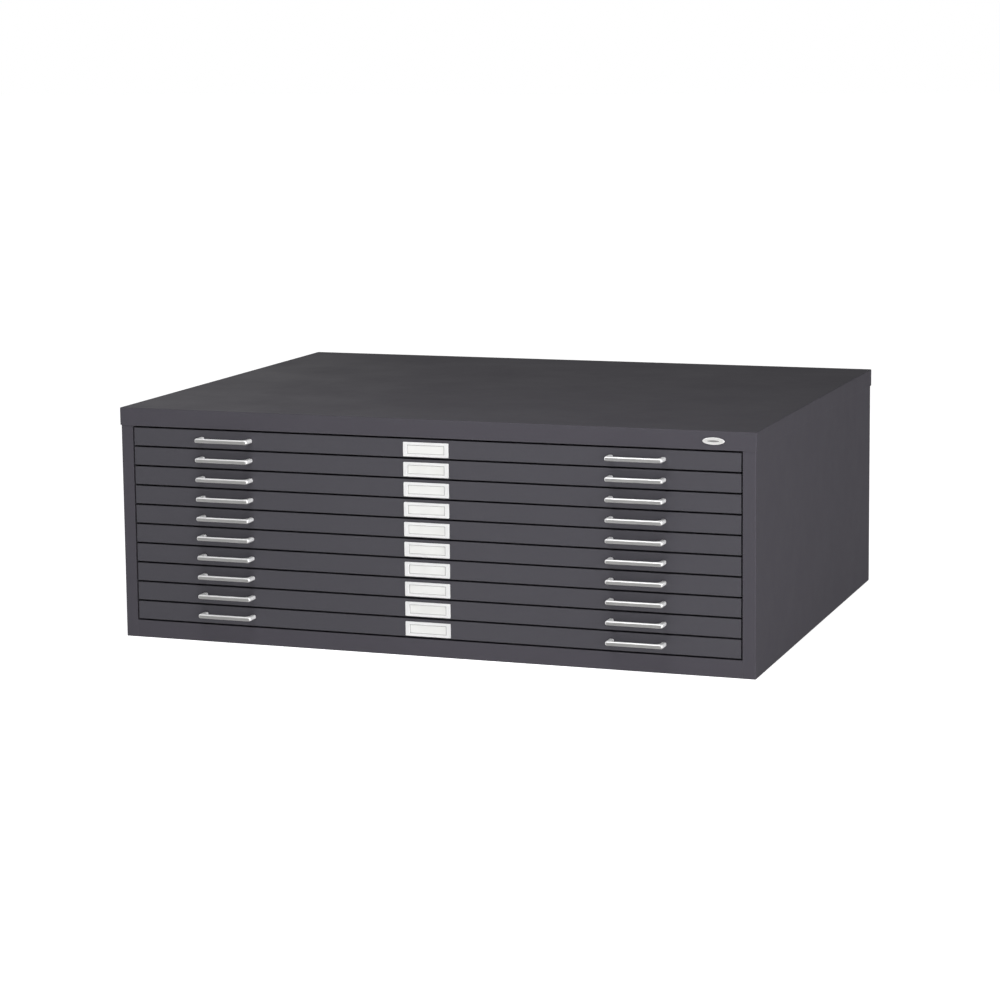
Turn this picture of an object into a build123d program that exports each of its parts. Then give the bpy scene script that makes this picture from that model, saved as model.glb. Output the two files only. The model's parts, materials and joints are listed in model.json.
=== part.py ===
"""Ten-drawer steel flat file cabinet for large sheets.

Millimetres, +Z up, the drawers open towards -Y. The origin is the centre of the footprint, pulls
included, at floor level. The case is folded sheet steel under a separate cap. Every drawer runs on
two rollers a side: the front pair turns on studs in the case's runner channels and carries the
drawer's rail flanges, and the rear pair turns on studs in the drawer and rolls inside the channels.
"""

import os

from build123d import *

# ---- driving dimensions -------------------------------------------------------------------------
cap_width = 1178.0  # overall, 46 3/8 in
cap_depth = 898.5  # overall without the pulls, 35 3/8 in
cap_height = 31.75
overall_height = 419.1  # 16 1/2 in
cap_overhang = 1.6  # how far the cap stands out from the case on every side
sheet = 1.0  # sheet steel of the case and the drawers
bend = 1.6  # outer radius of a fold
dressed = 0.4  # outer radius of a fold round the drawer opening, ground flush where parts meet

drawer_count = 10
stile_width = 22.6
rail_height = 31.0  # front bottom rail, up to the drawer opening
drawer_gap = 3.0  # shadow gap above and below every drawer front
side_gap = 2.6  # shadow gap beside the fronts
drawer_pitch = 35.25
front_thickness = 16.0  # double-wall drawer front

pull_projection = 24.0
pull_length = 101.6
pull_height = 7.6
pull_bar = 6.5  # bar thickness, front to back
pull_post = 8.5  # post width
pull_corner = 3.2  # outer corner radius, seen from above
pull_throat = 8.0  # radius inside, where the bar turns into a post
pull_edge = 2.6  # rounding of the long edges
pull_spacing = 762.0  # centre to centre of a drawer's two pulls

label_width = 84.0
label_height = 25.4
label_thickness = 2.2
label_window = (68.0, 15.4)
label_rise = 1.8  # from the bottom edge of the drawer front

roller_radius = 9.5
roller_width = 9.0
roller_bore = 3.05
stud_radius = 3.0
running_gap = 0.3  # between a roller and the track that it carries
travel = 610.0  # three quarters of a tray's depth

# ---- places worked out from them ----------------------------------------------------------------
case_half = cap_width / 2 - cap_overhang
case_inner = case_half - sheet
front_y = -(cap_depth - cap_overhang - pull_projection) / 2
back_y = front_y + cap_depth - 2 * cap_overhang
case_top = overall_height - sheet
opening_half = case_half - stile_width
front_half = opening_half - side_gap
front_height = drawer_pitch - drawer_gap
opening_top = rail_height + drawer_gap + drawer_count * drawer_pitch

tray_front = front_y + front_thickness
tray_length = 815.0
tray_back = tray_front + tray_length
tray_wall = 547.0  # inner face of a tray's side, from the centre
flange_edge = 562.0  # outer edge of the flange that runs on the front rollers

upright_depth = 14.0
upright_width = 25.0
upright_inset = 60.0  # from the front and the back of the case
channel_face = case_inner - upright_depth
channel_lip = 549.5  # inner edge of a channel's flanges
channel_front = tray_front + sheet + 1.0
channel_back = back_y - 25.0
channel_bottom = 4.0  # these five are heights above a drawer front's bottom edge
roller_height = channel_bottom + sheet + 0.4 + roller_radius
flange_top = roller_height + roller_radius + running_gap + sheet
channel_top = flange_top + 0.9 + sheet
tray_bottom = 2.0

roller_inner = 551.5
front_roller_y = channel_front + 14.0
rear_roller_y = tray_back - 13.0
stop_height = 6.0
stop_y = rear_roller_y - travel - roller_radius - 0.5


def drawer_base(number):
    """Height of the bottom edge of a drawer's front; drawer 1 is the top one."""
    return rail_height + drawer_gap + (drawer_count - number) * drawer_pitch


def folded(plane, points, inside=Side.LEFT, radii=bend):
    """Cross-section of one folded sheet, whose outer face follows the points; radii may be one a fold."""
    with BuildSketch(plane) as section:
        with BuildLine():
            FilletPolyline(*points, radius=radii)
            offset(amount=sheet, side=inside)
        make_face()
    return section.sketch


def save(part, name):
    """Labels a finished piece and writes it as its own STEP file."""
    part.label = name
    export_step(part, f"parts/{name}.step")


os.makedirs("parts", exist_ok=True)

# ---- case ---------------------------------------------------------------------------------------

with BuildPart() as top_cap:
    with BuildSketch(Plane.XY.offset(overall_height - cap_height)):
        with Locations((0, (front_y + back_y) / 2)):
            Rectangle(cap_width, cap_depth)
    extrude(amount=cap_height)
    fillet(top_cap.edges().filter_by(Axis.Z), bend)
    fillet(top_cap.faces().sort_by(Axis.Z)[-1].edges(), bend)
    offset(amount=-sheet, openings=top_cap.faces().sort_by(Axis.Z)[0])
save(top_cap.part, "top_cap")

# A side panel folds round the front as the stile, and back in beside the drawers as a hem. Its rear
# flange carries the back panel, and the small hole near the back takes a ganging clip.
stile_hem = 14.0
rear_flange = 20.0
clip_hole_radius = 2.5
clip_hole_y = back_y - 5.7
clip_hole_z = overall_height - 71.5

with BuildPart() as right_side_panel:
    extrude(
        folded(
            Plane.XY,
            [
                (opening_half, front_y + stile_hem),
                (opening_half, front_y),
                (case_half, front_y),
                (case_half, back_y - sheet),
                (case_half - sheet - rear_flange, back_y - sheet),
            ],
            radii=[dressed, bend, bend],
        ),
        amount=case_top,
    )
    with Locations(Plane.YZ.offset(case_half)):
        with Locations((clip_hole_y, clip_hole_z)):
            Hole(clip_hole_radius, depth=2 * sheet)
save(right_side_panel.part, "right_side_panel")

with BuildPart() as left_side_panel:
    add(mirror(right_side_panel.part, about=Plane.YZ))
save(left_side_panel.part, "left_side_panel")

with BuildPart() as back_panel:
    with Locations((0, back_y - sheet / 2, case_top / 2)):
        Box(2 * (case_half - bend), sheet, case_top)
    # turned in along the top, between the side panels' rear flanges
    turned_in = 16.0
    with Locations((0, back_y - turned_in / 2, case_top - sheet / 2)):
        Box(2 * (case_half - rear_flange - 2 * sheet), turned_in, sheet)
save(back_panel.part, "back_panel")

# The bottom pan lies behind the front rail's folds. Its four holes take the bolts of a base.
pan_front = front_y + 16.0
pan_back = back_y - 2 * sheet
pan_height = 12.0
base_bolt_radius = 4.5
base_bolt_x = 1080.0
base_bolt_y = 780.0
pan_middle = (front_y + back_y) / 2

with BuildPart() as bottom_pan:
    with BuildSketch():
        with Locations((0, (pan_front + pan_back) / 2)):
            Rectangle(2 * case_inner, pan_back - pan_front)
    extrude(amount=pan_height)
    fillet(bottom_pan.edges().filter_by(Axis.Z), bend)
    fillet(bottom_pan.faces().sort_by(Axis.Z)[0].edges(), bend)
    offset(amount=-sheet, openings=bottom_pan.faces().sort_by(Axis.Z)[-1])
    with Locations((0, pan_middle, sheet)):
        with GridLocations(base_bolt_x, base_bolt_y, 2, 2):
            Hole(base_bolt_radius, depth=2 * sheet)
save(bottom_pan.part, "bottom_pan")


def front_rail(low, high):
    """A rail across the front, folded back 15 mm along both edges."""
    fold = 15.0
    outline = [
        (front_y + fold, low),
        (front_y, low),
        (front_y, high),
        (front_y + fold, high),
    ]
    with BuildPart() as rail:
        section = folded(Plane.YZ, outline, inside=Side.RIGHT, radii=dressed)
        extrude(section, amount=opening_half, both=True)
    return rail.part


save(front_rail(0, rail_height), "front_bottom_rail")
save(front_rail(opening_top, case_top), "front_top_rail")

# ---- suspension ---------------------------------------------------------------------------------


def upright(y, side):
    """A U-section post against a side panel, which the runner channels are welded to."""
    outline = [
        (case_inner, y - upright_width / 2),
        (channel_face, y - upright_width / 2),
        (channel_face, y + upright_width / 2),
        (case_inner, y + upright_width / 2),
    ]
    with BuildPart() as post:
        section = folded(Plane.XY.offset(pan_height + 2), outline, inside=Side.RIGHT)
        extrude(section, amount=opening_top - pan_height)
    return post.part if side > 0 else mirror(post.part, about=Plane.YZ)


upright_places = [front_y + upright_inset, pan_middle, back_y - upright_inset]
runner_uprights = Compound([upright(y, side) for y in upright_places for side in (-1, 1)])
save(runner_uprights, "runner_uprights")


def stud(start, shoulder, end, y, z):
    """A staked stud along X: a shoulder from start, a journal to end, and a head past the roller."""
    way = 1 if end > start else -1
    head = 1.2
    with BuildPart() as pin:
        for first, last, radius in (
            (start, shoulder, stud_radius + 2),
            (shoulder, end, stud_radius),
            (end - way * head, end, stud_radius + 2),
        ):
            with BuildSketch(Plane.YZ.offset(min(first, last))):
                with Locations((y, z)):
                    Circle(radius)
            extrude(amount=abs(last - first))
    return pin.part


def runner_channel(base):
    """The right-hand channel of one drawer: a C-section with its front roller's stud and a stop."""
    outline = [
        (channel_lip, base + channel_bottom),
        (channel_face, base + channel_bottom),
        (channel_face, base + channel_top),
        (channel_lip, base + channel_top),
    ]
    with BuildPart() as channel:
        section = folded(Plane.XZ.offset(-channel_front), outline)
        extrude(section, amount=channel_front - channel_back)
        # the stop that the rear roller meets when the drawer is open
        with Locations((555.0, stop_y - 1.5, base + channel_bottom + sheet + stop_height / 2)):
            Box(9.0, 3.0, stop_height)
        roller_outer = roller_inner + roller_width
        add(
            stud(
                channel_face - sheet,
                roller_outer + 0.5,
                roller_inner - 1.5,
                front_roller_y,
                base + roller_height,
            )
        )
    return channel.part


channels = [runner_channel(drawer_base(number)) for number in range(1, drawer_count + 1)]
runner_channels = Compound(channels + [mirror(one, about=Plane.YZ) for one in channels])
save(runner_channels, "runner_channels")


def roller_pair(y, z):
    """Two ball-bearing rollers on one axis, a bearing recess in each face."""
    with BuildPart() as roller:
        with BuildSketch(Plane.YZ.offset(roller_inner)):
            with Locations((y, z)):
                Circle(roller_radius)
                Circle(roller_bore, mode=Mode.SUBTRACT)
        extrude(amount=roller_width)
        rims = roller.edges().filter_by(GeomType.CIRCLE)
        chamfer(rims.filter_by(lambda edge: edge.radius > roller_bore + 1), 0.6)
        for face_x, depth in ((roller_inner, 0.8), (roller_inner + roller_width, -0.8)):
            with BuildSketch(Plane.YZ.offset(face_x)):
                with Locations((y, z)):
                    Circle(roller_radius - 2)
                    Circle(roller_bore + 1.4, mode=Mode.SUBTRACT)
            extrude(amount=depth, mode=Mode.SUBTRACT)
    return Compound([roller.part, mirror(roller.part, about=Plane.YZ)])


# ---- drawers ------------------------------------------------------------------------------------


def drawer_front(base):
    """The outer skin of the double-wall front: a shallow pan, open at the back."""
    with BuildPart() as front:
        with BuildSketch(Plane.XY.offset(base)):
            with Locations((0, front_y + front_thickness / 2)):
                Rectangle(2 * front_half, front_thickness)
        extrude(amount=front_height)
        fillet(front.faces().sort_by(Axis.Y)[0].edges(), 1.2)
        offset(amount=-sheet, openings=front.faces().sort_by(Axis.Y)[-1])
    return front.part


def tray_rail(base):
    """The right-hand side of a tray, flanged outwards over the front roller, with its rear stud."""
    outline = [
        (tray_wall, base + tray_bottom),
        (tray_wall, base + flange_top),
        (flange_edge, base + flange_top),
    ]
    with BuildPart() as rail:
        section = folded(Plane.XZ.offset(-tray_front - sheet), outline, inside=Side.RIGHT)
        extrude(section, amount=-(tray_length - sheet))
        add(
            stud(
                tray_wall,
                roller_inner - 0.5,
                roller_inner + roller_width + 1.7,
                rear_roller_y,
                base + roller_height,
            )
        )
    return rail.part


def tray(base):
    """The drawer's welded tray: floor, two rails, inner front wall, rear wall and rear hood."""
    with BuildPart() as floor:
        with Locations((0, (tray_front + sheet + tray_back) / 2, base + tray_bottom + sheet / 2)):
            Box(2 * tray_wall, tray_length - sheet, sheet)
    setback = 0.4
    with BuildPart() as inner_front:
        with Locations((0, tray_front + sheet / 2, base + front_height / 2)):
            Box(2 * (front_half - setback), sheet, front_height - 2 * setback)
    wall_low = base + tray_bottom + sheet
    with BuildPart() as rear_wall:
        with Locations((0, tray_back - sheet / 2, (wall_low + base + flange_top) / 2)):
            Box(2 * tray_wall, sheet, base + flange_top - wall_low)
    # the hood keeps sheets from curling up over the back; its front edge is turned up
    hood_depth = 150.0
    hood_low = base + flange_top - 3
    hood_lip = 4.0
    outline = [
        (tray_back - sheet, hood_low),
        (tray_back - hood_depth, hood_low),
        (tray_back - hood_depth - hood_lip, hood_low + hood_lip),
    ]
    with BuildPart() as hood:
        extrude(folded(Plane.YZ, outline, inside=Side.RIGHT), amount=tray_wall, both=True)
    rail = tray_rail(base)
    pieces = [floor.part, rail, mirror(rail, about=Plane.YZ)]
    return Compound(pieces + [inner_front.part, rear_wall.part, hood.part])


def pull(x, z):
    """A cast bar pull on two posts, rounded all over."""
    reach = pull_projection
    with BuildPart() as handle:
        with BuildSketch(Plane.XY.offset(z - pull_height / 2)) as plan:
            with Locations((x, front_y - reach / 2)):
                Rectangle(pull_length, reach)
            fillet(plan.vertices().group_by(Axis.Y)[0], pull_corner)
            with BuildSketch(mode=Mode.SUBTRACT) as gap:
                with Locations((x, front_y - (reach - pull_bar) / 2)):
                    Rectangle(pull_length - 2 * pull_post, reach - pull_bar)
                fillet(gap.vertices().group_by(Axis.Y)[0], pull_throat)
        extrude(amount=pull_height)
        foot = handle.faces().sort_by(Axis.Y)[-2:]
        foot_edges = foot[0].edges() + foot[1].edges()
        rounded = [
            edge
            for edge in handle.edges()
            if edge not in foot_edges and abs(edge.tangent_at(0.5).Z) < 0.5
        ]
        fillet(rounded, pull_edge)
    return handle.part


def label_holder(z):
    """A pressed frame for a paper card, rounded outside, bevelled to its window, open behind."""
    pocket = (label_width - 6.0, label_height - 6.0)
    with BuildPart() as frame:
        with BuildSketch(Plane.XZ.offset(-front_y)):
            with Locations((0, z)):
                RectangleRounded(label_width, label_height, 1.2)
        extrude(amount=label_thickness)
        fillet(frame.faces().sort_by(Axis.Y)[0].edges(), 0.8)
        with BuildSketch(Plane.XZ.offset(-front_y)):
            with Locations((0, z)):
                Rectangle(*pocket)
        extrude(amount=0.9, mode=Mode.SUBTRACT)
        with BuildSketch(Plane.XZ.offset(-front_y + label_thickness)):
            with Locations((0, z)):
                Rectangle(label_window[0] + 1.6, label_window[1] + 1.6)
        extrude(amount=-label_thickness, taper=30, mode=Mode.SUBTRACT)
    return frame.part


for number in range(1, drawer_count + 1):
    base = drawer_base(number)
    drawer = f"drawer_{number:02d}"
    save(drawer_front(base), f"{drawer}_front")
    save(tray(base), f"{drawer}_tray")
    pull_z = base + front_height / 2
    pulls = [pull(side * pull_spacing / 2, pull_z) for side in (-1, 1)]
    label_z = base + label_rise + label_height / 2
    save(Compound(pulls + [label_holder(label_z)]), f"{drawer}_hardware")
    save(roller_pair(front_roller_y, base + roller_height), f"{drawer}_front_rollers")
    save(roller_pair(rear_roller_y, base + roller_height), f"{drawer}_rear_rollers")

# ---- badge --------------------------------------------------------------------------------------

badge_width = 38.0
badge_height = 12.4
badge_thickness = 1.4
badge_x = 515.0
badge_z = overall_height - 17.2

with BuildPart() as badge:
    with BuildSketch(Plane.XZ.offset(cap_overhang - front_y)):
        with Locations((badge_x, badge_z)):
            Ellipse(badge_width / 2, badge_height / 2)
    extrude(amount=badge_thickness)
    fillet(badge.faces().sort_by(Axis.Y)[0].edges(), 0.7)
save(badge.part, "badge")
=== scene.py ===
"""The looks of a ten-drawer steel flat file cabinet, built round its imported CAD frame. In metres."""

import json
import math

import bmesh
import bpy
from mathutils import Matrix, Vector


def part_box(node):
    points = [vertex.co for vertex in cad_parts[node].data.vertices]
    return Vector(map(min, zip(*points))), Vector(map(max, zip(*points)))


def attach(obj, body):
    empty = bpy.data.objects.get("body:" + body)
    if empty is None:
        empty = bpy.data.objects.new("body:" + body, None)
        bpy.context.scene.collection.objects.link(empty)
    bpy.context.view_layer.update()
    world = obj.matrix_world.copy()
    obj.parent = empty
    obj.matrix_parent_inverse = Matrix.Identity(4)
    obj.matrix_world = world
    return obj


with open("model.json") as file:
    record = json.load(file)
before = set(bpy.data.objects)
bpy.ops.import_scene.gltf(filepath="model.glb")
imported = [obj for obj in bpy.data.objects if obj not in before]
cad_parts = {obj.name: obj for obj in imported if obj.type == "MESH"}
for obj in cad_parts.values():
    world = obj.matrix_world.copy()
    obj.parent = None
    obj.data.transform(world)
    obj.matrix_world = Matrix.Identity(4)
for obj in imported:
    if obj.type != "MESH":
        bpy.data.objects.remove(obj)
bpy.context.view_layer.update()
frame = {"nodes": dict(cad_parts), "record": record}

MM = 0.001
DRAWERS = [f"drawer_{number:02d}" for number in range(1, 11)]

# ---- camera -------------------------------------------------------------------------------------

CAMERA_AT = (1.728, -4.872, 1.083)
YAW, PITCH, ROLL = (math.radians(angle) for angle in (19.73, 7.56, -0.59))
SENSOR_WIDTH = 36.0
FOCAL_LENGTH = 100.1
SHIFT_Y = -0.1  # keeps the cabinet inside the frame in the other views too
FAR_CLIP = 100.0


def make_camera():
    """Looks along +Y, turned left by the yaw and down by the pitch, from in front and to the right."""
    data = bpy.data.cameras.new("camera")
    data.sensor_width = SENSOR_WIDTH
    data.lens = FOCAL_LENGTH
    data.shift_y = SHIFT_Y
    data.clip_end = FAR_CLIP
    camera = bpy.data.objects.new("camera", data)
    bpy.context.scene.collection.objects.link(camera)
    forward = Vector((-math.sin(YAW) * math.cos(PITCH), math.cos(YAW) * math.cos(PITCH), -math.sin(PITCH)))
    right = Vector((math.cos(YAW), math.sin(YAW), 0))
    up = right.cross(forward)
    rolled_right = math.cos(ROLL) * right + math.sin(ROLL) * up
    rolled_up = math.cos(ROLL) * up - math.sin(ROLL) * right
    turned = Matrix((rolled_right, rolled_up, -forward)).transposed()
    camera.matrix_world = Matrix.Translation(CAMERA_AT) @ turned.to_4x4()
    bpy.context.scene.camera = camera


make_camera()

# ---- node helpers -------------------------------------------------------------------------------


class Shader:
    """A material and short ways to add the nodes that all of the materials here are made of."""

    def __init__(self, name):
        self.material = bpy.data.materials.new(name)
        self.material.use_nodes = True
        self.tree = self.material.node_tree
        self.tree.nodes.clear()
        self.bsdf = self.node("ShaderNodeBsdfPrincipled")
        output = self.node("ShaderNodeOutputMaterial")
        self.link(self.bsdf.outputs[0], output.inputs[0])
        self.place = self.node("ShaderNodeTexCoord").outputs["Object"]

    def node(self, kind, **settings):
        made = self.tree.nodes.new(kind)
        for key, value in settings.items():
            setattr(made, key, value)
        return made

    def link(self, source, target):
        self.tree.links.new(source, target)

    def put(self, target, value):
        """Links an output to a socket, or sets a plain value on it."""
        if isinstance(value, bpy.types.NodeSocket):
            self.link(value, target)
        else:
            target.default_value = value

    def noise(self, scale, detail=2.0, roughness=0.5, stretch=None):
        """Grey noise, about 0.3 to 0.7; scale is in waves a metre, stretch is a factor for each axis."""
        place = self.place
        if stretch:
            mapping = self.node("ShaderNodeMapping")
            self.link(place, mapping.inputs["Vector"])
            mapping.inputs["Scale"].default_value = stretch
            place = mapping.outputs[0]
        made = self.node("ShaderNodeTexNoise")
        self.link(place, made.inputs["Vector"])
        made.inputs["Scale"].default_value = scale
        made.inputs["Detail"].default_value = detail
        made.inputs["Roughness"].default_value = roughness
        return made.outputs["Fac"]

    def math(self, operation, first, second=0.0, clamp=False):
        made = self.node("ShaderNodeMath", operation=operation, use_clamp=clamp)
        self.put(made.inputs[0], first)
        self.put(made.inputs[1], second)
        return made.outputs[0]

    def span(self, value, low, high, to_low=0.0, to_high=1.0):
        """Maps low..high to to_low..to_high, clamped."""
        made = self.node("ShaderNodeMapRange")
        self.put(made.inputs["Value"], value)
        made.inputs["From Min"].default_value = low
        made.inputs["From Max"].default_value = high
        made.inputs["To Min"].default_value = to_low
        made.inputs["To Max"].default_value = to_high
        return made.outputs[0]

    def mix(self, factor, first, second):
        """Blends two colours."""
        made = self.node("ShaderNodeMix", data_type="RGBA")
        self.put(made.inputs[0], factor)
        self.put(made.inputs[6], first)
        self.put(made.inputs[7], second)
        return made.outputs[2]

    def edges(self, radius):
        """1 on convex edges and corners of about that radius, 0 on flats."""
        bevel = self.node("ShaderNodeBevel", samples=6)
        bevel.inputs["Radius"].default_value = radius
        flat = self.node("ShaderNodeNewGeometry").outputs["Normal"]
        dot = self.node("ShaderNodeVectorMath", operation="DOT_PRODUCT")
        self.link(bevel.outputs[0], dot.inputs[0])
        self.link(flat, dot.inputs[1])
        return self.span(dot.outputs["Value"], 0.995, 0.86)

    def bump(self, height, distance, strength=1.0, below=None):
        made = self.node("ShaderNodeBump")
        made.inputs["Distance"].default_value = distance
        made.inputs["Strength"].default_value = strength
        self.link(height, made.inputs["Height"])
        if below:
            self.link(below, made.inputs["Normal"])
        return made.outputs[0]

    def set(self, **values):
        """Sets or links the shader's own sockets; a name's underscores stand for spaces."""
        for key, value in values.items():
            self.put(self.bsdf.inputs[key.replace("_", " ")], value)
        return self.material


def grey(level, warmth=0.0):
    return (level * (1 + warmth), level, level * (1 - warmth), 1.0)


# ---- materials ----------------------------------------------------------------------------------


CLOUDINESS = 0.035  # how far the paint's tone strays from its colour
SMUDGING = 0.045  # how far its roughness strays
# width of the lightened convex edges: partly rubbed wear, partly a painted highlight
RUBBED_AND_HIGHLIT_EDGE = 1.1 * MM
PAINT_SPECULAR = 0.22
PAINT_GLOSS = (0.92, 0.87, 1.0, 1.0)  # a faint violet cast in the reflections


def painted_steel(name, colour, worn_and_highlit, roughness):
    """Satin baked enamel on sheet steel: faint cloudiness, orange peel, and convex edges lightened in
    patches, partly rubbed wear and partly a painted highlight.
    """
    m = Shader(name)
    clouds = m.span(m.noise(1.7, 3.0), 0.32, 0.68)
    blotches = m.span(m.noise(11.0, 4.0, 0.6), 0.3, 0.7)
    darker = tuple(channel * (1 - CLOUDINESS) for channel in colour[:3]) + (1.0,)
    lighter = tuple(channel * (1 + CLOUDINESS) for channel in colour[:3]) + (1.0,)
    tone = m.math("ADD", m.math("MULTIPLY", clouds, 0.65), m.math("MULTIPLY", blotches, 0.35))
    paint = m.mix(tone, darker, lighter)
    # convex edges lightened in patches: partly rubbed wear, partly a painted highlight
    edge_patchiness = m.span(m.noise(60.0, 3.0), 0.35, 0.65, 0.1, 0.6)
    rubbed_and_highlit = m.math("MULTIPLY", m.edges(RUBBED_AND_HIGHLIT_EDGE), edge_patchiness)
    paint = m.mix(rubbed_and_highlit, paint, worn_and_highlit)
    low, high = roughness - SMUDGING, roughness + SMUDGING
    smudges = m.span(m.noise(5.0, 5.0, 0.65), 0.3, 0.7, low, high)
    peel = m.bump(m.noise(520.0, 2.0), 0.00006, 0.35)
    waves = m.bump(m.noise(7.0, 1.0), 0.0005, 0.12, peel)
    return m.set(
        Base_Color=paint,
        Roughness=m.math("SUBTRACT", smudges, m.math("MULTIPLY", rubbed_and_highlit, 0.1)),
        Specular_IOR_Level=PAINT_SPECULAR,
        Specular_Tint=PAINT_GLOSS,
        Normal=waves,
    )


def bright_metal(name, face, sides, centre, centre_half):
    """Satin plate with a lengthwise grain; painted shade darkens what faces forward or down, and a painted
    highlight makes the other faces near white.

    Within centre_half of the cabinet's middle plane, where the label holders are, its tone is centre.
    """
    m = Shader(name)
    grain = m.noise(420.0, 3.0, 0.6, stretch=(0.06, 1.0, 1.0))
    haze = m.span(m.noise(45.0, 3.0), 0.3, 0.7)
    place = m.node("ShaderNodeSeparateXYZ")
    m.link(m.place, place.inputs[0])
    off_centre = m.math("GREATER_THAN", m.math("ABSOLUTE", place.outputs[0]), centre_half)
    normal = m.node("ShaderNodeSeparateXYZ")
    m.link(m.node("ShaderNodeNewGeometry").outputs["Normal"], normal.inputs[0])
    # painted shade: faces turned forward or down get the darker face tone, all other faces the bright
    # sides tone as a painted highlight
    forward = m.span(normal.outputs[1], -0.82, -0.98)
    downward = m.span(normal.outputs[2], -0.1, -0.4)
    painted_shade_mask = m.math("MULTIPLY", m.math("MAXIMUM", forward, downward), off_centre)
    plate = m.mix(painted_shade_mask, grey(sides), grey(face, 0.012))
    tone = m.mix(off_centre, grey(centre), plate)
    hazy = m.mix(m.math("MULTIPLY", haze, 0.06), tone, grey(0.05))
    rough = m.span(grain, 0.3, 0.7, 0.3, 0.44)
    metal = m.span(painted_shade_mask, 0.0, 1.0, 0.3, 0.6)
    scratches = m.bump(grain, 0.00003, 0.3)
    return m.set(Base_Color=hazy, Metallic=metal, Roughness=rough, Normal=scratches)


def zinc(name):
    """Zinc-plated strip: bright, with soft spangles and the draw lines of rolling."""
    m = Shader(name)
    cells = m.node("ShaderNodeTexVoronoi")
    cells.inputs["Scale"].default_value = 90.0
    m.link(m.place, cells.inputs["Vector"])
    spangle = m.node("ShaderNodeSeparateXYZ")
    m.link(cells.outputs["Color"], spangle.inputs[0])
    draw = m.noise(300.0, 2.0, 0.5, stretch=(1.0, 0.02, 1.0))
    tone = m.mix(spangle.outputs[0], (0.42, 0.43, 0.45, 1.0), (0.56, 0.57, 0.58, 1.0))
    rough = m.span(draw, 0.3, 0.7, 0.3, 0.46)
    return m.set(Base_Color=tone, Metallic=1.0, Roughness=rough, Normal=m.bump(draw, 0.00003, 0.3))


def roller_steel(name):
    """Turned steel rollers with an oily film and a polished running track."""
    m = Shader(name)
    turned = m.noise(900.0, 2.0, 0.5, stretch=(1.0, 0.1, 0.1))
    oil = m.span(m.noise(70.0, 4.0), 0.35, 0.65)
    tone = m.mix(oil, (0.3, 0.3, 0.31, 1.0), (0.47, 0.46, 0.45, 1.0))
    rough = m.span(oil, 0.0, 1.0, 0.2, 0.38)
    return m.set(Base_Color=tone, Metallic=1.0, Roughness=rough, Normal=m.bump(turned, 0.00004, 0.4))


def card_stock(name, clear_width, clear_height):
    """White card with faint fibres, and a painted shadow of the holder's window edge as a grey border
    outside the clear part, which is given as shares.
    """
    m = Shader(name)
    fibres = m.noise(1500.0, 4.0, 0.7, stretch=(0.4, 1.0, 1.0))
    age = m.span(m.noise(28.0, 2.0), 0.3, 0.7)
    across = m.node("ShaderNodeSeparateXYZ")
    m.link(m.node("ShaderNodeTexCoord").outputs["Generated"], across.inputs[0])
    side = m.math("ABSOLUTE", m.math("SUBTRACT", across.outputs[0], 0.5))
    rise = m.math("ABSOLUTE", m.math("SUBTRACT", across.outputs[2], 0.5))
    shaded_beside = m.math("GREATER_THAN", side, clear_width / 2)
    shaded_above = m.math("GREATER_THAN", rise, clear_height / 2)
    stock = m.mix(age, (0.585, 0.585, 0.57, 1.0), (0.62, 0.62, 0.61, 1.0))
    # painted shadow of the holder's window edge: grey outside the clear part
    tone = m.mix(m.math("MAXIMUM", shaded_beside, shaded_above), stock, grey(0.3))
    rough = m.span(fibres, 0.3, 0.7, 0.75, 0.9)
    return m.set(
        Base_Color=tone, Roughness=rough, Specular_IOR_Level=0.3, Normal=m.bump(fibres, 0.00003, 0.3)
    )


def enamel(name, level):
    """Hard dark enamel, slightly orange-peeled."""
    m = Shader(name)
    peel = m.noise(900.0, 2.0)
    tone = m.mix(m.span(peel, 0.3, 0.7), grey(level * 0.92), grey(level * 1.08))
    return m.set(Base_Color=tone, Roughness=0.35, Normal=m.bump(peel, 0.00003, 0.3))


def studio_floor(name):
    """Matte white sweep with barely visible tone changes."""
    m = Shader(name)
    tone = m.mix(m.span(m.noise(0.7, 2.0), 0.3, 0.7), grey(0.9), grey(0.92))
    return m.set(
        Base_Color=tone,
        Roughness=0.9,
        Specular_IOR_Level=0.1,
        Emission_Color=grey(1.0),
        Emission_Strength=0.78,
    )


CASE_COLOUR = (0.052, 0.049, 0.058, 1.0)
DRAWER_COLOUR = (0.053, 0.0515, 0.059, 1.0)
# the lighter edge colour: partly rubbed paint, partly a painted highlight
WORN_AND_HIGHLIT_PAINT = (0.11, 0.105, 0.115, 1.0)

case_paint = painted_steel("case_paint", CASE_COLOUR, WORN_AND_HIGHLIT_PAINT, roughness=0.5)
drawer_paint = painted_steel("drawer_paint", DRAWER_COLOUR, WORN_AND_HIGHLIT_PAINT, roughness=0.48)
# the pulls' front faces are darkened by painted shade, their sides made near white by painted highlight
pull_chrome = bright_metal("satin_chrome", face=0.42, sides=0.97, centre=0.8, centre_half=0.06)
badge_metal = bright_metal("badge_metal", face=0.86, sides=0.97, centre=0.9, centre_half=0.0)
zinc_steel = zinc("zinc_steel")
rollers = roller_steel("roller_steel")
paper = card_stock("card_paper", clear_width=0.86, clear_height=0.76)
badge_ink = enamel("badge_ink", 0.16)

FINISHES = {
    "case_paint": case_paint,
    "drawer_paint": drawer_paint,
    "satin_chrome": pull_chrome,
    "badge_metal": badge_metal,
    "zinc_steel": zinc_steel,
    "roller_steel": rollers,
}
for part in frame["record"]["subparts"]:
    node = frame["nodes"][part["node"]]
    node.data.materials.clear()
    node.data.materials.append(FINISHES[part["material_slot"]])

# ---- label cards --------------------------------------------------------------------------------

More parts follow.
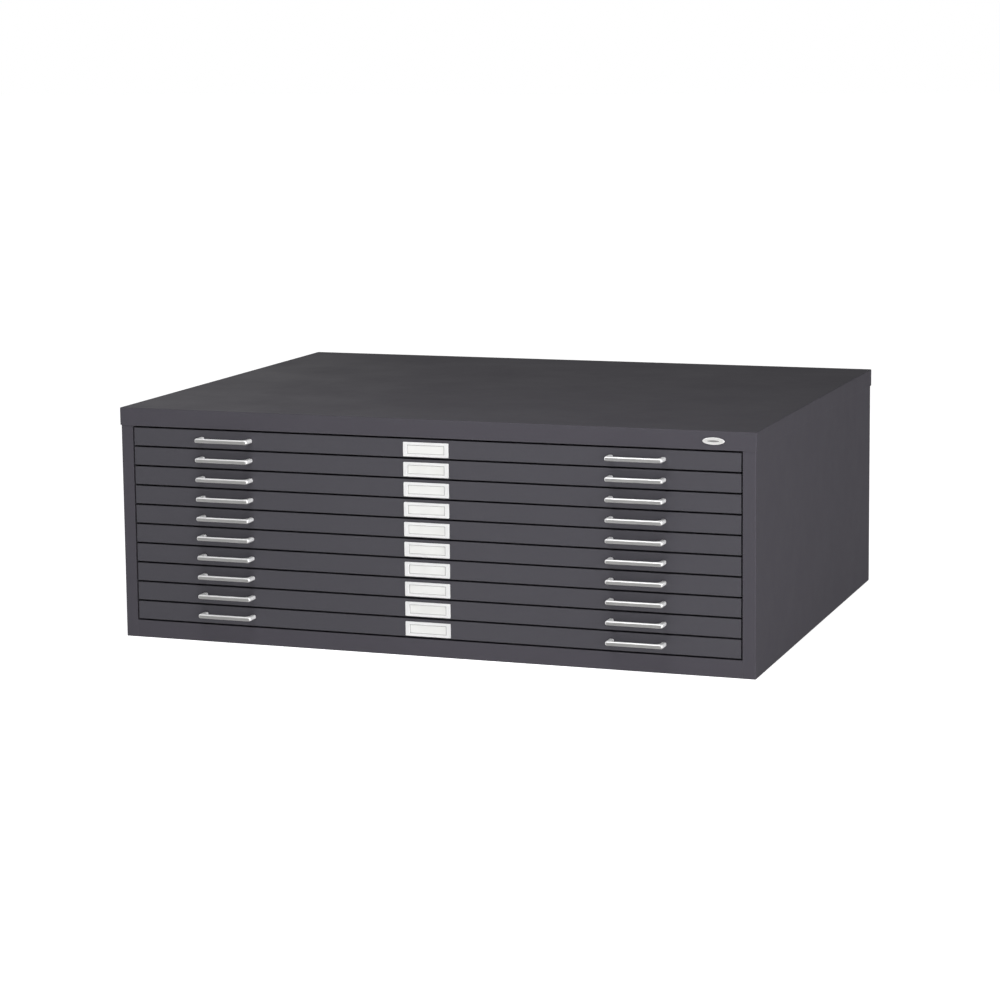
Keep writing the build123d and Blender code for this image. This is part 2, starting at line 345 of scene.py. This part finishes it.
CARD_WIDTH = 77.0 * MM
CARD_HEIGHT = 18.4 * MM
CARD_THICKNESS = 0.3 * MM
CARD_BOW = 0.12 * MM
CARD_PROUD = 0.5 * MM  # in front of the drawer front, inside the holder
CARD_COLUMNS, CARD_ROWS = 24, 6
LEANS = (0.0, 0.002, -0.001, 0.0015, -0.002, 0.001, 0.0, -0.0015, 0.002, -0.001)  # rise over run


def label_card(drawer, lean):
    """A card behind the holder's window, bowed a little and leaning a little."""
    low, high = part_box(f"{drawer}_hardware")
    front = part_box(f"{drawer}_front")[0].y
    centre = Vector((0, front - CARD_PROUD, (low.z + high.z) / 2))
    mesh = bmesh.new()
    grid = []
    for row in range(CARD_ROWS + 1):
        z = CARD_HEIGHT * (row / CARD_ROWS - 0.5)
        line = []
        for column in range(CARD_COLUMNS + 1):
            x = CARD_WIDTH * (column / CARD_COLUMNS - 0.5)
            bow = CARD_BOW * (1 - (2 * x / CARD_WIDTH) ** 2)
            line.append(mesh.verts.new(centre + Vector((x, -bow, z + lean * x))))
        grid.append(line)
    for lower, upper in zip(grid, grid[1:]):
        for column in range(CARD_COLUMNS):
            mesh.faces.new((lower[column], lower[column + 1], upper[column + 1], upper[column]))
    data = bpy.data.meshes.new(f"{drawer}_card")
    mesh.to_mesh(data)
    mesh.free()
    data.materials.append(paper)
    card = bpy.data.objects.new(f"{drawer}_card", data)
    bpy.context.scene.collection.objects.link(card)
    solid = card.modifiers.new("thickness", "SOLIDIFY")
    solid.thickness = CARD_THICKNESS
    solid.offset = 0.0
    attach(card, drawer)


for drawer, lean in zip(DRAWERS, LEANS):
    label_card(drawer, lean)

# ---- badge --------------------------------------------------------------------------------------

RIM_INSET = 0.7 * MM  # from the edge of the badge
RIM_WIDTH = 0.9 * MM
RIM_SLOPE = 0.15 * MM
RAISED = 0.25 * MM  # how far the rim and the lozenge stand out
SUNK = 0.05 * MM  # how far both start below the badge's face
LOZENGE = (10.5 * MM, 1.5 * MM)  # half width and half height
LOZENGE_SLOPE = 0.1 * MM
LOZENGE_POWER = 1.6
OVAL_STEPS = 96


def ring_of(mesh, centre, half_width, half_height, y, power=1.0):
    """A loop of vertices round an oval, or round a pointed lozenge where power is over 1."""
    loop = []
    for step in range(OVAL_STEPS):
        turn = 2 * math.pi * step / OVAL_STEPS
        side, rise = math.cos(turn), math.sin(turn)
        x = half_width * side
        z = half_height * math.copysign(abs(rise) ** power, rise)
        loop.append(mesh.verts.new((centre.x + x, y, centre.z + z)))
    return loop


def band(mesh, inner, outer):
    """Faces between two loops of as many vertices."""
    for index in range(len(inner)):
        after = (index + 1) % len(inner)
        mesh.faces.new((inner[index], inner[after], outer[after], outer[index]))


def badge_piece(mesh, name, material):
    """Makes the mesh a piece that rides on the case."""
    bmesh.ops.recalc_face_normals(mesh, faces=mesh.faces)
    data = bpy.data.meshes.new(name)
    mesh.to_mesh(data)
    mesh.free()
    data.materials.append(material)
    piece = bpy.data.objects.new(name, data)
    bpy.context.scene.collection.objects.link(piece)
    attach(piece, "case")


def badge_details():
    """A raised rim round the blank oval badge, and a plain dark lozenge across its middle."""
    low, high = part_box("badge")
    centre = (low + high) / 2
    half_width = (high.x - low.x) / 2 - RIM_INSET
    half_height = (high.z - low.z) / 2 - RIM_INSET
    face, proud = low.y + SUNK, low.y - RAISED
    profile = ((0.0, face), (RIM_SLOPE, proud), (RIM_WIDTH - RIM_SLOPE, proud), (RIM_WIDTH, face))
    rim = bmesh.new()
    loops = [ring_of(rim, centre, half_width - inset, half_height - inset, y) for inset, y in profile]
    for first, second in zip(loops, loops[1:] + loops[:1]):
        band(rim, first, second)
    badge_piece(rim, "badge_rim", badge_metal)
    mark = bmesh.new()
    base = ring_of(mark, centre, *LOZENGE, face, LOZENGE_POWER)
    top = ring_of(mark, centre, *(half - LOZENGE_SLOPE for half in LOZENGE), proud, LOZENGE_POWER)
    band(mark, base, top)
    mark.faces.new(base)
    mark.faces.new(top)
    badge_piece(mark, "badge_lozenge", badge_ink)


badge_details()

# ---- stage --------------------------------------------------------------------------------------

FLOOR_REACH = 40.0
SURROUND_LEVEL = 0.13
SURROUND_SLOPE = (-0.37, 0.0, 0.0)  # added brightness towards -X
WHITE = (1.0, 1.0, 1.0, 1.0)


def make_floor():
    """A plain pale floor that runs far past the view and isn't mirrored in the cabinet."""
    mesh = bpy.data.meshes.new("floor")
    signs = ((-1, -1), (1, -1), (1, 1), (-1, 1))
    corners = [(FLOOR_REACH * x, FLOOR_REACH * y, 0) for x, y in signs]
    mesh.from_pydata(corners, [], [(0, 1, 2, 3)])
    mesh.materials.append(studio_floor("floor"))
    floor = bpy.data.objects.new("floor", mesh)
    bpy.context.scene.collection.objects.link(floor)
    floor.visible_glossy = False


def aim(light, at, target):
    """Puts a light in its place, facing the target."""
    light.location = at
    light.rotation_mode = "QUATERNION"
    light.rotation_quaternion = (Vector(target) - Vector(at)).to_track_quat("-Z", "Y")
    bpy.context.scene.collection.objects.link(light)


def softbox(name, at, target, size, power):
    """A rectangular soft light, of a size in metres and a power in watts."""
    data = bpy.data.lights.new(name, "AREA")
    data.shape = "RECTANGLE"
    data.size, data.size_y = size
    data.energy = power
    aim(bpy.data.objects.new(name, data), at, target)


def sky_panel(name, towards, strength, spread):
    """An even light from far off, as wide as its spread in degrees."""
    data = bpy.data.lights.new(name, "SUN")
    data.energy = strength
    data.angle = math.radians(spread)
    aim(bpy.data.objects.new(name, data), towards, (0, 0, 0))


def make_world():
    """A dim surround, brighter towards -X, lights the cabinet; the camera sees a white backdrop."""
    world = bpy.data.worlds.new("studio")
    bpy.context.scene.world = world
    world.use_nodes = True
    tree = world.node_tree
    tree.nodes.clear()
    direction = tree.nodes.new("ShaderNodeTexCoord")
    slope = tree.nodes.new("ShaderNodeVectorMath")
    slope.operation = "DOT_PRODUCT"
    slope.inputs[1].default_value = SURROUND_SLOPE
    tree.links.new(direction.outputs["Generated"], slope.inputs[0])
    level = tree.nodes.new("ShaderNodeMath")
    level.operation = "ADD"
    level.inputs[1].default_value = SURROUND_LEVEL
    tree.links.new(slope.outputs["Value"], level.inputs[0])
    at_least = tree.nodes.new("ShaderNodeMath")
    at_least.operation = "MAXIMUM"
    at_least.inputs[1].default_value = SURROUND_LEVEL
    tree.links.new(level.outputs[0], at_least.inputs[0])
    surround = tree.nodes.new("ShaderNodeBackground")
    tree.links.new(at_least.outputs[0], surround.inputs["Strength"])
    backdrop = tree.nodes.new("ShaderNodeBackground")
    backdrop.inputs["Strength"].default_value = 1.0
    for shade in (surround, backdrop):
        shade.inputs["Color"].default_value = WHITE
    seen = tree.nodes.new("ShaderNodeLightPath")
    choose = tree.nodes.new("ShaderNodeMixShader")
    tree.links.new(seen.outputs["Is Camera Ray"], choose.inputs[0])
    tree.links.new(surround.outputs[0], choose.inputs[1])
    tree.links.new(backdrop.outputs[0], choose.inputs[2])
    output = tree.nodes.new("ShaderNodeOutputWorld")
    tree.links.new(choose.outputs[0], output.inputs[0])


sky_panel("sky", (0.1, -1.0, 1.3), 0.3, 40.0)
softbox("front_key", (1.75, -3.5, 0.5), (0.35, -0.4, 0.2), (2.0, 1.0), 46.0)
softbox("right_fill", (4.2, -1.0, 1.0), (0.6, 0.0, 0.2), (2.0, 1.4), 77.0)
softbox("overhead", (-0.05, -1.1, 1.6), (0.0, -0.45, 0.3), (0.8, 0.8), 12.0)
softbox("back_left_sheen", (-3.2, 4.6, 1.3), (-0.3, 0.0, 0.4), (1.6, 1.2), 2.6)
make_floor()
make_world()
bpy.context.scene.view_settings.view_transform = "Standard"
